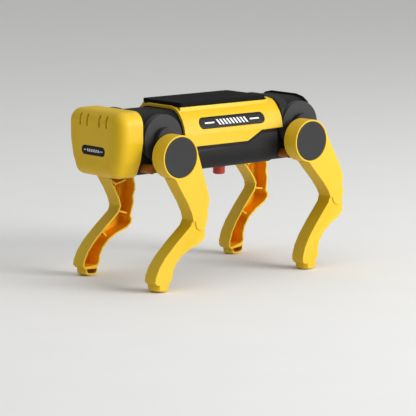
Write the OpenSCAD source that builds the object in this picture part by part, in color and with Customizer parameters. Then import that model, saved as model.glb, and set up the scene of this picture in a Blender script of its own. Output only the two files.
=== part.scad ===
// Battery-driven walking robot dog: a four-legged toy whose legs hang on crank pins.
// +X points to the head, +Y to the dog's left, +Z up. The origin is on the ground,
// in the middle of the footprint. All sizes are in millimetres.

/* [Stance] */
// Distance between the front and rear crank axles
axle_span = 77; // [77:0.5:77]
// X position of the front crank axle
front_axle_x = 34.9; // [34.6:0.1:35.2]
// Height of both crank axles above the ground
axle_z = 63.1; // [63:0.1:64]
// Throw of each crank, from axle to crank pin
crank_throw = 6.9; // [6:0.1:7]
// Angle of the front cranks at rest, from straight down towards the tail
front_crank_deg = 3; // [0:1:90]
// Angle of the rear cranks at rest, from straight down towards the head
rear_crank_deg = 27.5; // [0:0.5:90]

/* [Legs] */
// Lean of the front legs, foot forwards
front_lean_deg = 2.6; // [0:0.1:5]
// Lean of the rear legs, foot backwards
rear_lean_deg = 7.7; // [0:0.1:10]
// Inner face of each leg, measured from the middle of the body
leg_inner_y = 21.3; // [21:0.1:22]
// Outer face of each leg, which sets the overall width
leg_outer_y = 29; // [28:0.1:30]
// Outer radius of the round leg head
leg_head_r = 9.35; // [9:0.05:10]
// Thickness of the moulded leg walls
leg_wall = 0.9; // [0.7:0.1:1.2]

/* [Body] */
// Front edge of the yellow back cover
cover_front_x = 23.1; // [22.8:0.1:23.4]
// Rear edge of the yellow back cover
cover_rear_x = -31.9; // [-32.2:0.1:-31.6]
// Half width of the back cover
cover_half_w = 18; // [17.8:0.1:18.2]
// Top of the back cover
cover_top_z = 75.1; // [75:0.1:75.4]
// Thickness of the body shells
shell_wall = 1.2; // [1:0.1:1.3]
// Flat underside of the belly
belly_z = 47; // [46.5:0.1:47.5]
// Length of the battery door on the back
door_l = 48.2; // [47:0.1:49]
// Width of the battery door
door_w = 26; // [25:0.1:27]
// Top of the battery door
door_top_z = 76.7; // [76.5:0.1:77]

/* [Head] */
// Front face of the head
head_front_x = 58.4; // [58:0.1:59]
// Open rim at the back of the head
head_back_x = 46.3; // [46:0.1:46.6]
// Half width of the head
head_half_w = 18.6; // [18:0.1:19]
// Radius of the round edge between the head's face and its sides
head_edge_r = 4.6; // [4:0.1:4.8]

/* [Gears] */
// Module of all gears
gear_module = 0.5; // [0.5]
// Teeth on the two axle gears
axle_teeth = 24; // [24]
// Teeth on each of the five idler gears
idler_teeth = 26; // [26]
// Teeth on the motor pinion
pinion_teeth = 10; // [10]

/* [Hidden] */
$fn = 64;
over = 1;           // how far a cutting shape runs past the face it cuts
fit = 0.05;         // radial clearance of every running fit
part_gap = 0.1;     // assembly gap between neighbouring mouldings

// Running gear
rear_axle_x = front_axle_x - axle_span;
axle_r = 1.5;
axle_half_l = 20.4;
bush_r = 2.5;
bush_in_y = 13.9;
hip_r = 10.2;
hip_in_y = 15.2;
hip_face_y = 18;
peg_ahead = 8;
peg_z = 51;
crank_r = 5;
crank_in_y = 18.9;         // clears the cheeks of the head, which the front cranks pass
crank_out_y = 20.9;
crank_pin_r = 3;
crank_pin_end_y = 26.3;
web_out_y = 26.2;
web_t = 1;
cap_in_y = 27.4;
cap_out_y = 28.85;
cap_r = 8.5;
front_hip = [front_axle_x - crank_throw * sin(front_crank_deg),
    axle_z - crank_throw * cos(front_crank_deg)];
rear_hip = [rear_axle_x + crank_throw * sin(rear_crank_deg),
    axle_z - crank_throw * cos(rear_crank_deg)];

// Body shells
split_z = axle_z;
belly_half_w = 17.5;
belly_r = 8;
block_half_w = 15.2;
crown_half_w = 17.2;
crown_top_z = 75.4;
neck_inset = 1.6;       // how far the neck stands inside the cover's outline
deck_half_w = 16.5;
deck_wall = 1;
cover_wall = 1.3;
belly_rear_x = -29.4;
block_rear_x = -50.4;
block_front_x = 45.8;
door_x = -2.3;
door_t = 1.9;
plinth_rim = 0.8;       // width of the raised seat that carries the battery door
seat_z = door_top_z - door_t - part_gap;
post_r = 2.2;
post_top_z = 53;
belly_posts = [[19.5, -9], [19.5, 5.5], [-26.5, -9], [-26.5, 5.5]];

// Batteries and their tray
cell_r = 5.25;
cell_l = 44.5;
cell_z = 66.5;
cell_y = [-8.6, 1.9];
tray_wall = 0.7;
tray_y = [cell_y[0] - cell_r - tray_wall - part_gap,
    cell_y[1] + cell_r + tray_wall + part_gap];
tray_x = [door_x - 24, door_x + 24];
tray_z = [cell_z - cell_r - tray_wall, 73.4];

// Gear train, all in one plane on the left side
gear_y = [9.6, 12];
plate_y = [8.3, 9.3];
pin_r = 1;
idler_pitch_r = gear_module * idler_teeth / 2;
axle_pitch_r = gear_module * axle_teeth / 2;
pinion_pitch_r = gear_module * pinion_teeth / 2;
first_idler_x = rear_axle_x + axle_pitch_r + idler_pitch_r;
idler_x = [for (i = [0:4]) first_idler_x + 2 * idler_pitch_r * i];
motor_x = idler_x[3];
motor_z = axle_z - idler_pitch_r - pinion_pitch_r;
gearbox_y = [0.8, 8.2];

// Switch
button_x = -10.6;
button_r = 2.65;
button_low_z = 41.9;
button_top_z = 49.4;
spring_top_z = 53;
floor_z = belly_z + shell_wall;

// ---- shared shapes -------------------------------------------------------

// Extrudes an outline drawn in side view (x, z) from y0 to y1
module side_view(y0, y1) {
    translate([0, y1, 0]) rotate([90, 0, 0]) linear_extrude(height = y1 - y0) children();
}

// Extrudes an outline drawn in end view (y, z) from x0 to x1
module end_view(x0, x1) {
    translate([x0, 0, 0]) rotate([90, 0, 90]) linear_extrude(height = x1 - x0) children();
}

// A cylinder lying along Y
module cross_cylinder(r, y0, y1, x = 0, z = 0) {
    translate([x, y1, z]) rotate([90, 0, 0]) cylinder(r = r, h = y1 - y0);
}

// A box given by its two opposite corners
module span_box(low, high) {
    translate(low) cube(high - low);
}

module on_both_sides() {
    children();
    mirror([0, 1, 0]) children();
}

// Half of the body section below the split: flat floor and round lower corners
module tub_section(half_w, bottom, top, r) {
    translate([-half_w + r, bottom]) square([2 * (half_w - r), top - bottom]);
    translate([-half_w, bottom + r]) square([2 * half_w, top - bottom - r]);
    for (s = [-1, 1]) translate([s * (half_w - r), bottom + r]) circle(r);
}

// Left-hand normal of the edge from a to b
function edge_normal(a, b) = let (d = b - a) [-d[1], d[0]] / norm(d);

// An anticlockwise outline drawn in by a distance, corner by corner
function inset(p, d) = let (n = len(p)) [for (i = [0:n - 1])
    let (n1 = edge_normal(p[(i + n - 1) % n], p[i]), n2 = edge_normal(p[i], p[(i + 1) % n]))
    p[i] + (n1 + n2) * d / (1 + n1 * n2)];

// ---- gears ---------------------------------------------------------------

addendum = 0.9;
dedendum = 1.2;
tooth_fill = 0.84;      // share of half a pitch that a tooth fills, the rest is backlash
flank_slope = 0.36;     // tangent of the flank angle

// Half the angle that a tooth covers at a height above the pitch circle
function tooth_half_deg(teeth, height) = let (r = gear_module * teeth / 2)
    90 / teeth * tooth_fill - height * flank_slope / (r + height) * 180 / PI;

function gear_outline(teeth) = let (r = gear_module * teeth / 2,
    tip = gear_module * addendum, root = -gear_module * dedendum)
    [for (i = [0:teeth - 1], s = [[-1, root], [-1, tip], [1, tip], [1, root]])
        let (a = 360 * i / teeth + s[0] * tooth_half_deg(teeth, s[1]))
        (r + s[1]) * [cos(a), sin(a)]];

// Turn of gear B that meshes it with gear A, when B lies in direction dir from A
function mesh_turn(turn_a, teeth_a, teeth_b, dir) =
    dir + 180 - ((turn_a - dir) * teeth_a / 360 + 0.5) * 360 / teeth_b;

rear_gear_turn = 0;
idler_turn_1 = mesh_turn(rear_gear_turn, axle_teeth, idler_teeth, 0);
idler_turn_2 = mesh_turn(idler_turn_1, idler_teeth, idler_teeth, 0);
idler_turn_3 = mesh_turn(idler_turn_2, idler_teeth, idler_teeth, 0);
idler_turn_4 = mesh_turn(idler_turn_3, idler_teeth, idler_teeth, 0);
idler_turn_5 = mesh_turn(idler_turn_4, idler_teeth, idler_teeth, 0);
front_gear_turn = mesh_turn(idler_turn_5, idler_teeth, axle_teeth, 0);
pinion_turn = mesh_turn(idler_turn_4, idler_teeth, pinion_teeth, -90);

// A gear on the common gear plane with a bore and a thin web
module gear(x, z, teeth, turn, bore_r) {
    rim_r = gear_module * teeth / 2 - 2;
    difference() {
        translate([x, 0, z]) side_view(gear_y[0], gear_y[1]) rotate(turn)
            polygon(gear_outline(teeth));
        cross_cylinder(bore_r, gear_y[0] - over, gear_y[1] + over, x, z);
        if (rim_r > bore_r + 2) difference() {
            cross_cylinder(rim_r, gear_y[1] - 0.7, gear_y[1] + over, x, z);
            cross_cylinder(bore_r + 1.2, gear_y[0], gear_y[1] + over, x, z);
        }
    }
}

module idler_gear(i, turn) {
    color("white") gear(idler_x[i], axle_z, idler_teeth, turn, pin_r + fit);
}

module front_axle_gear() {
    color("white") gear(front_axle_x, axle_z, axle_teeth, front_gear_turn, axle_r);
}

module rear_axle_gear() {
    color("white") gear(rear_axle_x, axle_z, axle_teeth, rear_gear_turn, axle_r);
}

module motor_pinion() {
    color("gold") {
        gear(motor_x, motor_z, pinion_teeth, pinion_turn, 1);
        cross_cylinder(1, gearbox_y[1] - 2.5, gear_y[1], motor_x, motor_z);
    }
}

// ---- body shells ---------------------------------------------------------

// Side view of everything the back cover hides, with its slanted lower edge
module cover_side(drop) {
    polygon([[cover_front_x + drop, 58.2 - drop], [cover_front_x + drop, 80],
        [cover_rear_x - drop, 80], [cover_rear_x - drop, 62.6 - drop],
        [-19.9, 62.4 - drop], [-11.9, 58.2 - drop]]);
}

// End view of the cover's outside: crowned roof, sloping shoulder, nearly upright side
shoulder = [[7.7, cover_top_z], [11, 74.5], [13, 73.2], [14.3, 71.8], [16, 69.6],
    [17.3, 66.7], [cover_half_w, 63.2], [cover_half_w, 55]];
cover_outline = concat([for (i = [len(shoulder) - 1:-1:0]) shoulder[i]],
    [for (p = shoulder) [-p[0], p[1]]]);

module body_cover() {
    color("gold") difference() {
        union() {
            intersection() {
                end_view(cover_rear_x, cover_front_x) polygon(cover_outline);
                side_view(-40, 40) cover_side(0);
            }
            door_plinth();
        }
        end_view(cover_rear_x - over, cover_front_x + over)
            polygon(inset(cover_outline, cover_wall));
        end_view(cover_rear_x - over, cover_front_x + over)
            translate([-cover_half_w + cover_wall, 50]) square([2 * (cover_half_w - cover_wall), 10]);
        door_space(-plinth_rim, 70);
        door_space(part_gap, seat_z);
        on_both_sides() side_label_solid(part_gap);
    }
}

// The door's footprint grown by a distance, from a given height upwards
module door_space(grown, low_z) {
    half = [door_l / 2 + grown, door_w / 2 + grown];
    span_box([door_x - half[0], -half[1], low_z], [door_x + half[0], half[1], 80]);
}

// Raised seat round the battery opening, level with the underside of the door
module door_plinth() {
    rear_x = door_x - door_l / 2 - part_gap;
    half_w = door_w / 2 + part_gap;
    span_box([rear_x, -half_w, 70], [door_x + door_l / 2 + part_gap, half_w, seat_z]);
    // a low lip behind the door
    span_box([rear_x - plinth_rim, -half_w, 70], [rear_x, half_w, seat_z + plinth_rim]);
}

// The hip cover discs, with a clearance, where the shells make room for them
module hip_pockets(gap) {
    for (x = [front_axle_x, rear_axle_x]) on_both_sides()
        cross_cylinder(hip_r + gap, hip_in_y - gap, 30, x, axle_z);
}

// Bores for the axle bushes in the side walls
module bush_bores() {
    for (x = [front_axle_x, rear_axle_x]) cross_cylinder(bush_r, -30, 30, x, axle_z);
}

module lower_shell() {
    wall = shell_wall;
    color([0.13, 0.13, 0.14]) difference() {
        union() {
            end_view(belly_rear_x, cover_front_x) tub_section(belly_half_w, belly_z, split_z, belly_r);
            end_view(block_rear_x, belly_rear_x) tub_section(block_half_w, belly_z + 0.6, split_z, 5);
            end_view(cover_front_x, block_front_x) tub_section(block_half_w, belly_z + 0.6, split_z, 5);
        }
        difference() {
            union() {
                end_view(belly_rear_x, cover_front_x)
                    tub_section(deck_half_w - wall, floor_z, split_z + over, belly_r - 2 * wall);
                end_view(block_rear_x + wall, block_front_x - wall)
                    tub_section(block_half_w - wall, belly_z + 0.6 + wall, split_z + over, 4);
            }
            bush_seats();
            for (p = belly_posts) translate([p[0], p[1], belly_z])
                cylinder(r = post_r, h = post_top_z - belly_z);
            for (x = [idler_x[0] - 3, idler_x[4] + 3])
                span_box([x - 1, plate_y[0] - 1.2, belly_z], [x + 1, plate_y[0], split_z - 1]);
        }
        // the cover laps over the upper edge, and a shallow step runs below it
        on_both_sides() side_view(deck_half_w, 40) cover_side(part_gap);
        on_both_sides() side_view(belly_half_w - 0.3, 40) cover_side(1.5);
        bush_bores();
        hip_pockets(0);
        on_both_sides() peg_solids(13.4, 30);
        translate([button_x, 0, belly_z - over]) cylinder(r = button_r + 0.25, h = 4);
        for (p = belly_posts) translate([p[0], p[1], 0]) {
            cylinder(r = 1.1, h = 60);
            cylinder(r = 2, h = belly_z + 1.6);
        }
    }
}

// Thick rings inside the end blocks that carry the axle bushes
module bush_seats() {
    for (x = [front_axle_x, rear_axle_x]) on_both_sides()
        cross_cylinder(4, bush_in_y, block_half_w, x, axle_z);
}

// Shallow panels sunk into the upper corners of both end blocks
module corner_panels() {
    for (span = [[24.6, 34.6], [-48.6, -37]]) on_both_sides()
        span_box([span[0], 15.9, 67], [span[1], 30, 74.6]);
}

// End view of the rear block above the split: full shoulders, drawn in by a distance
crown_shoulder = [[8, crown_top_z], [12, 74.6], [15, 72.8], [16.6, 70.2], [crown_half_w, 67],
    [crown_half_w, 55]];
crown_outline = concat([for (i = [len(crown_shoulder) - 1:-1:0]) crown_shoulder[i]],
    [for (p = crown_shoulder) [-p[0], p[1]]]);

module crown_section(d) {
    intersection() {
        polygon(inset(crown_outline, d));
        translate([-30, split_z - (d > 1 ? over : 0)]) square([60, 40]);
    }
}

// The cover's section drawn in by a distance, above a given height
module saddle_section(d, low_z) {
    intersection() {
        polygon(inset(cover_outline, d));
        translate([-30, low_z]) square([60, 40]);
    }
}

module upper_shell() {
    wall = shell_wall;
    deck_inset = cover_wall + part_gap;
    color([0.13, 0.13, 0.14]) difference() {
        union() {
            end_view(cover_rear_x - part_gap, cover_front_x + part_gap)
                saddle_section(deck_inset, split_z);
            end_view(block_rear_x, cover_rear_x - part_gap) crown_section(0);
            end_view(cover_front_x + part_gap, block_front_x)
                saddle_section(neck_inset, split_z);
            span_box([block_front_x - over, -12, 66], [head_front_x - 3, 12, 68]);
        }
        end_view(cover_rear_x - over, cover_front_x + over)
            saddle_section(deck_inset + deck_wall, split_z - over);
        difference() {
            end_view(block_rear_x + wall, block_front_x - wall)
                crown_section(crown_half_w - bush_in_y);
            bush_seats();
        }
        span_box([tray_x[0] - part_gap, tray_y[0] - part_gap, 60],
            [tray_x[1] + part_gap, tray_y[1] + part_gap, 80]);
        bush_bores();
        hip_pockets(0);
        corner_panels();
        difference() {
            span_box([-48.6, -30, split_z + 2], [-37, 30, 80]);
            end_view(-60, -30) crown_section(0.9);
        }
        for (s = [-1, 1]) translate([block_front_x + 7, s * 8, 60]) cylinder(r = 0.9, h = 20);
    }
}

module belly_screws() {
    color("silver") for (p = belly_posts) translate([p[0], p[1], belly_z + 0.4]) {
        cylinder(r = 1.9, h = 1.2);
        cylinder(r = 0.8, h = 10);
    }
}

module hip_covers() {
    color([0.25, 0.25, 0.26]) for (x = [front_axle_x, rear_axle_x]) on_both_sides() difference() {
        cross_cylinder(hip_r, hip_in_y, hip_face_y, x, axle_z);
        cross_cylinder(bush_r, hip_in_y - over, hip_face_y + over, x, axle_z);
    }
}

module axle_bushes() {
    color("goldenrod") for (x = [front_axle_x, rear_axle_x]) on_both_sides() difference() {
        cross_cylinder(bush_r, bush_in_y, hip_face_y, x, axle_z);
        cross_cylinder(axle_r + fit, bush_in_y - over, hip_face_y + over, x, axle_z);
    }
}

module peg_solids(y0, y1) {
    for (x = [front_axle_x, rear_axle_x]) cross_cylinder(2, y0, y1, x + peg_ahead, peg_z);
}

// Short pegs below the hip covers, on which each leg is steadied as it swings
module guide_pegs() {
    color("orange") on_both_sides() peg_solids(13.4, 20.4);
}

// ---- head ----------------------------------------------------------------

// End view of the head at a given inset: flat top, upright cheeks, narrowing chin
module head_outline(d) {
    w = head_half_w;
    cheek = [[12.2, 47], [15, 50.6], [17.1, 55], [w - 0.1, 60], [w, 69], [w - 1, 72.6],
        [15.6, 74.6], [13, 75.2]];
    outline = concat(cheek, [for (i = [len(cheek) - 1:-1:0]) [-cheek[i][0], cheek[i][1]]]);
    polygon(inset(outline, d));
}

// The head's block, its round front edge drawn as steps, and its hollow when drawn in by d
module head_block(d) {
    step_deg = 18;
    for (a = [0:step_deg:90 - step_deg]) {
        front_x = head_front_x - head_edge_r * (1 - sin(a + step_deg)) - d;
        end_view(head_back_x - (d > 0 ? over : 0), front_x)
            head_outline(head_edge_r * (1 - cos(a)) + d);
    }
}

module head_shell() {
    color("gold") difference() {
        head_block(0);
        head_block(1.3);
        // breathing slots over the brow
        for (y = [-8.9, -4.1, 4.1, 8.9])
            span_box([head_front_x - 5, y - 0.5, 68.4], [head_front_x + over, y + 0.5, 73]);
        translate([head_front_x - 0.5, 0, 58.2]) head_label_plate(0.05);
    }
    // bosses that hold the head on its neck tongue
    color("gold") for (s = [-1, 1]) difference() {
        translate([block_front_x + 7, s * 8, 68]) cylinder(r = 2.2, h = 6);
        translate([block_front_x + 7, s * 8, 67]) cylinder(r = 0.8, h = 6);
    }
}

// A flat plate with fully round ends, lying against the head's front face
module head_label_plate(gap) {
    rotate([90, 0, 90]) linear_extrude(height = 2) {
        square([12 + 2 * gap, 3.8 + 2 * gap], center = true);
        for (s = [-1, 1]) translate([s * 6, 0]) circle(1.9 + gap);
    }
}

module head_label() {
    color([0.1, 0.1, 0.1]) intersection() {
        translate([head_front_x - 0.5, 0, 58.2]) head_label_plate(0);
        span_box([head_front_x - over, -20, 50], [head_front_x, 20, 70]);
    }
}

module head_screws() {
    color("silver") for (s = [-1, 1]) translate([block_front_x + 7, s * 8, 0]) {
        translate([0, 0, 64.8]) cylinder(r = 1.9, h = 1.2);
        translate([0, 0, 65]) cylinder(r = 0.8, h = 7);
    }
}

// Long name plate with round ends, let into the sloping flank of the cover
module side_label_solid(gap) {
    half_l = 16;
    r = 2.3;
    side_view(14, 30) translate([-3.8, 67.6]) {
        square([2 * half_l, 2 * (r + gap)], center = true);
        for (s = [-1, 1]) translate([s * half_l, 0]) circle(r + gap);
    }
}

module side_labels() {
    color([0.1, 0.1, 0.1]) on_both_sides() intersection() {
        side_label_solid(0);
        difference() {
            end_view(-40, 40) polygon(inset(cover_outline, 0.1));
            end_view(-41, 41) polygon(inset(cover_outline, cover_wall));
        }
    }
}

// ---- legs ----------------------------------------------------------------

// Side view of one leg, with the hub at the origin and the toe towards +x
leg_outline = [[-9.1, 2], [-11.9, -5.6], [-14.6, -12.5], [-16.3, -17.6], [-16.4, -20.2],
    [-15.5, -22.8], [-15.9, -25.5], [-14.4, -31.4], [-15.2, -32.8], [-14.8, -34.8],
    [-12.6, -36.8], [-7.5, -38.8], [-3, -41.3], [0.3, -44.8], [1.8, -48], [2.1, -51.2],
    [3.4, -52.6], [10, -53.4], [11.3, -52.2], [11, -49.8], [9.2, -45.8], [6, -41.5],
    [0.5, -36], [-6.8, -29.4], [-7.9, -26.8], [-7, -24], [-4.5, -19.5], [0, -13], [2.6, -9]];
foot_x = 6.4;
foot_low_z = -56.54;
sole_r = 10;           // radius of the round sole

// One leg about its own hub, on the left side, toe forwards
module leg_moulding() {
    plate_in_y = leg_outer_y - 1.2;
    difference() {
        union() {
            difference() {
                union() {
                    side_view(leg_inner_y, leg_outer_y) polygon(leg_outline);
                    foot_knob(4.1, leg_inner_y, 4.4, 0.9);
                }
                difference() {
                    side_view(leg_inner_y - over, plate_in_y) polygon(inset(leg_outline, leg_wall));
                    leg_ribs(plate_in_y);
                }
                foot_knob(3.2, leg_inner_y - over, 3.1, 1.9);
                // the shank's outer face lies a little behind the thigh's
                rotate([0, 4, 0]) side_view(leg_outer_y - 0.5, leg_outer_y + over)
                    shank_face();
            }
            cross_cylinder(leg_head_r, leg_inner_y, leg_outer_y);
        }
        // drum: a cap seat outside, a web, and a hollow round the hub inside
        cross_cylinder(cap_r + part_gap, cap_in_y, leg_outer_y + over);
        cross_cylinder(cap_r - 0.5, web_out_y, cap_in_y + over);
        difference() {
            cross_cylinder(cap_r - 0.1, leg_inner_y - over, web_out_y - web_t);
            cross_cylinder(4.6, leg_inner_y + 0.1, web_out_y);
        }
        cross_cylinder(crank_pin_r + fit, leg_inner_y - over, web_out_y + over);
    }
}

// Side view of the shank's face: all below the knee but for the thigh's round tongue
module shank_face() {
    tongue_r = 3;
    tongue_x = -10.4;
    knee_z = -32.2;
    difference() {
        translate([-30, -70]) square([60, 70 - 28]);
        translate([-30, knee_z]) square([30 + tongue_x, 10]);
        translate([-30, knee_z + tongue_r]) square([30 + tongue_x + tongue_r, 10]);
        translate([tongue_x, knee_z + tongue_r]) circle(tongue_r);
    }
}

// Foot under the toe, drawn out and open towards the body like the rest of the leg
module foot_knob(r, inner_y, height, reach) {
    mid_y = (leg_inner_y + leg_outer_y) / 2 - 0.1;
    roof = r > 4 ? 0 : 0.9;
    intersection() {
        hull() for (shift = [0, reach]) {
            translate([foot_x, mid_y - shift, foot_low_z]) intersection() {
                translate([0, 0, roof + sole_r]) sphere(sole_r);
                rotate_extrude() polygon([[0, 0], [r - 1.3, 0], [r - 0.4, roof + 0.6],
                    [r, roof + 1.6], [r, height], [0, height]]);
            }
        }
        span_box([-20, inner_y, -70], [20, leg_outer_y, -40]);
    }
}

// Stiffening ribs inside the hollow leg: short webs on the front wall at the knee, in the
// shank and below the drum, and a low ridge along the thigh
module leg_ribs(plate_in_y) {
    rib_t = 0.8;
    ridge_h = 1.2;
    side_view(leg_inner_y + 0.3, plate_in_y + over) {
        translate([-12.2, -30.6]) rotate(15) square([5.2, rib_t]);
        translate([-1.1, -39.9]) rotate(40) square([3.8, rib_t]);
        translate([-5.4, -17.7]) rotate(39) square([4.4, rib_t]);
        translate([-5, -16.9]) rotate(164) square([6.2, rib_t]);
    }
    side_view(plate_in_y - ridge_h, plate_in_y + over)
        translate([-11.6, -29]) square([rib_t, 29]);
}

module leg_at(hip, lean) {
    color("gold") translate([hip[0], 0, hip[1]]) rotate([0, -lean, 0]) leg_moulding();
}

module cap_at(hip) {
    color([0.25, 0.25, 0.26]) cross_cylinder(cap_r, cap_in_y, cap_out_y, hip[0], hip[1]);
}

// ---- cranks and axles ----------------------------------------------------

module crank_pair(axle_x, hip) {
    throw = hip - [axle_x, axle_z];
    angle = atan2(throw[1], throw[0]);
    color([0.2, 0.2, 0.2]) on_both_sides() difference() {
        union() {
            side_view(crank_in_y, crank_out_y) translate([axle_x, axle_z]) rotate(angle) {
                circle(crank_r);
                translate([0, -crank_r]) square([crank_throw, 2 * crank_r]);
                translate([crank_throw, 0]) circle(crank_r);
            }
            cross_cylinder(crank_pin_r, crank_out_y - over, crank_pin_end_y, hip[0], hip[1]);
        }
        cross_cylinder(axle_r, crank_in_y - over, axle_half_l, axle_x, axle_z);
        cross_cylinder(0.9, 22, crank_pin_end_y + over, hip[0], hip[1]);
    }
}

module crank_screws(hip) {
    color("silver") on_both_sides() {
        cross_cylinder(4.2, crank_pin_end_y, crank_pin_end_y + 0.8, hip[0], hip[1]);
        cross_cylinder(0.9, 22.5, crank_pin_end_y + 0.5, hip[0], hip[1]);
    }
}

module axle_at(x) {
    color("silver") cross_cylinder(axle_r, -axle_half_l, axle_half_l, x, axle_z);
}

// ---- drive and electrics -------------------------------------------------

module gear_plate() {
    color("white") difference() {
        side_view(plate_y[0], plate_y[1])
            translate([idler_x[0] - 4, 57.6]) square([idler_x[4] - idler_x[0] + 8, 12]);
        for (x = idler_x) cross_cylinder(pin_r, 0, 20, x, axle_z);
    }
}

module idler_pins() {
    color("silver") for (x = idler_x) cross_cylinder(pin_r, plate_y[0], gear_y[1] + 1, x, axle_z);
}

module motor_can() {
    color("silver") intersection() {
        cross_cylinder(6, -12.2, gearbox_y[0], motor_x, motor_z);
        span_box([motor_x - 6, -20, motor_z - 5], [motor_x + 6, 20, motor_z + 5]);
    }
}

module gearbox_case() {
    color("goldenrod") difference() {
        span_box([motor_x - 6, gearbox_y[0], motor_z - 5], [motor_x + 6, gearbox_y[1], motor_z + 5]);
        cross_cylinder(1 + fit, gearbox_y[1] - 3, 20, motor_x, motor_z);
    }
}

// Open-topped tray whose outer corner follows the cover's shoulder
module battery_tray() {
    color("dimgray") difference() {
        intersection() {
            span_box([tray_x[0], tray_y[0], tray_z[0]], [tray_x[1], tray_y[1], tray_z[1]]);
            end_view(-40, 40) polygon(inset(cover_outline, cover_wall + part_gap));
        }
        intersection() {
            span_box([tray_x[0] + tray_wall, tray_y[0] + tray_wall, tray_z[0] + tray_wall],
                [tray_x[1] - tray_wall, tray_y[1] - tray_wall, 90]);
            end_view(-40, 40) polygon(inset(cover_outline, cover_wall + part_gap + tray_wall));
        }
        span_box([tray_x[0] + tray_wall, -door_w / 2 + 1, 70],
            [tray_x[1] - tray_wall, tray_y[1] - tray_wall, 90]);
    }
    // screw posts under the tray
    color("dimgray") for (p = belly_posts) difference() {
        translate([p[0], p[1], post_top_z]) cylinder(r = post_r, h = tray_z[0] - post_top_z);
        translate([p[0], p[1], post_top_z - over]) cylinder(r = 0.8, h = 7);
    }
}

module battery_cells() {
    color("darkseagreen") for (i = [0, 1]) translate([door_x, cell_y[i], cell_z])
        rotate([0, i == 0 ? 90 : -90, 0]) {
            translate([0, 0, -cell_l / 2]) cylinder(r = cell_r, h = cell_l - 1);
            translate([0, 0, cell_l / 2 - 1]) cylinder(r = 1.9, h = 1);
        }
}

// Stacked rings stand for the conical springs at the cells' flat ends
module contact_springs() {
    end_gap = 24 - tray_wall - cell_l / 2;
    color("silver") for (i = [0, 1]) translate([door_x, cell_y[i], cell_z])
        rotate([0, i == 0 ? -90 : 90, 0]) translate([0, 0, cell_l / 2]) difference() {
            cylinder(r1 = 2.5, r2 = 4, h = end_gap - 0.3);
            translate([0, 0, -over]) cylinder(r = 1.6, h = 5);
        }
}

module contact_plates() {
    color("silver") for (s = [-1, 1])
        span_box([door_x + s * 23.15 - 0.15, cell_y[0] - 4, cell_z - 4],
            [door_x + s * 23.15 + 0.15, cell_y[1] + 4, cell_z + 4]);
}

module battery_door() {
    low_z = door_top_z - door_t;
    color([0.1, 0.1, 0.11]) union() {
        span_box([door_x - door_l / 2, -door_w / 2, low_z],
            [door_x + door_l / 2, door_w / 2, door_top_z]);
        // locating skirt that drops into the tray
        difference() {
            span_box([tray_x[0] + 0.9, -11.8, 72.6], [tray_x[1] - 0.9, 7, low_z]);
            span_box([tray_x[0] + 2, -10.8, 70], [tray_x[1] - 2, 6, low_z]);
        }
    }
}

module switch_body() {
    color("white") difference() {
        span_box([button_x - 4, -4, floor_z + 0.4], [button_x + 4, 4, 55]);
        translate([button_x, 0, 40]) cylinder(r = button_r + 0.75, h = spring_top_z - 40);
    }
}

module power_button() {
    color("firebrick") translate([button_x, 0, 0]) {
        translate([0, 0, button_low_z]) cylinder(r = button_r, h = button_top_z - button_low_z);
        translate([0, 0, button_top_z - 1]) cylinder(r = button_r + 0.55, h = 1);
    }
}

module button_spring() {
    color("silver") translate([button_x, 0, button_top_z]) difference() {
        cylinder(r = 1.8, h = spring_top_z - button_top_z);
        translate([0, 0, -over]) cylinder(r = 1.3, h = 9);
    }
}

lower_shell();
upper_shell();
body_cover();
battery_door();
battery_tray();
battery_cells();
contact_springs();
contact_plates();
gear_plate();
idler_pins();
motor_can();
gearbox_case();
motor_pinion();
axle_at(front_axle_x);  // front_axle
axle_at(rear_axle_x);  // rear_axle
front_axle_gear();
rear_axle_gear();
idler_gear(0, idler_turn_1);  // idler_gear_1
idler_gear(1, idler_turn_2);  // idler_gear_2
idler_gear(2, idler_turn_3);  // idler_gear_3
idler_gear(3, idler_turn_4);  // idler_gear_4
idler_gear(4, idler_turn_5);  // idler_gear_5
crank_pair(front_axle_x, front_hip);  // front_cranks
crank_pair(rear_axle_x, rear_hip);  // rear_cranks
crank_screws(front_hip);  // front_crank_screws
crank_screws(rear_hip);  // rear_crank_screws
axle_bushes();
hip_covers();
guide_pegs();
leg_at(front_hip, front_lean_deg);  // front_left_leg
mirror([0, 1, 0]) leg_at(front_hip, front_lean_deg);  // front_right_leg
leg_at(rear_hip, -rear_lean_deg);  // rear_left_leg
mirror([0, 1, 0]) leg_at(rear_hip, -rear_lean_deg);  // rear_right_leg
cap_at(front_hip);  // front_left_cap
mirror([0, 1, 0]) cap_at(front_hip);  // front_right_cap
cap_at(rear_hip);  // rear_left_cap
mirror([0, 1, 0]) cap_at(rear_hip);  // rear_right_cap
head_shell();
head_screws();
head_label();
side_labels();
switch_body();
power_button();
button_spring();
belly_screws();
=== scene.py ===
"""Looks of a walking robot dog toy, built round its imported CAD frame.

+X points to the head, +Y to the dog's left and +Z up, in metres, with the feet on z = 0.
Sizes in the dataclasses are in millimetres, as on the drawing, and turn to metres in mm().
"""

import logging
import math
from collections.abc import Callable, Iterable, Sequence
from dataclasses import dataclass
from enum import Enum

import bmesh
import bpy
from bmesh.types import BMEdge, BMesh, BMVert
from mathutils import Matrix, Vector
from mathutils.bvhtree import BVHTree


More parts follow.
